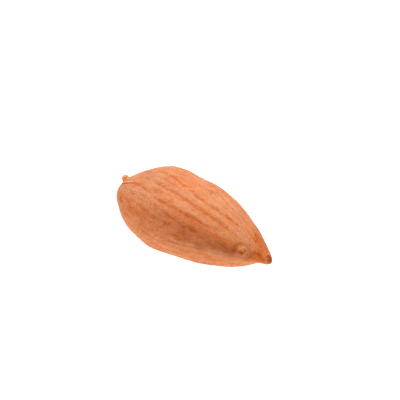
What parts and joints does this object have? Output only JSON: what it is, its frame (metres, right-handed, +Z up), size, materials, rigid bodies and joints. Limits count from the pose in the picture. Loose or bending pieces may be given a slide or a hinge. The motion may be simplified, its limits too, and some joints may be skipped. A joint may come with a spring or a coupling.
{
  "type": "almond kernel",
  "caption": "Shelled almond kernel in its wrinkled brown skin: a plump teardrop with a blunt end, a hooked nib and a small scar beside it, lying on a flat spot.",
  "frame": {"origin": "centre of the bounding box in plan, on the surface that the kernel rests on", "axes": "+X along the kernel towards its nib, +Z up, -Y the side whose edge carries the scar"},
  "size_m": [0.0248, 0.0126, 0.0107],
  "materials": {
    "almond_skin": "matt papery brown seed skin with fine scurf and lengthwise veins"
  },
  "bodies": {
    "root": {"almond_kernel": "almond_skin"}
  },
  "joints": []
}
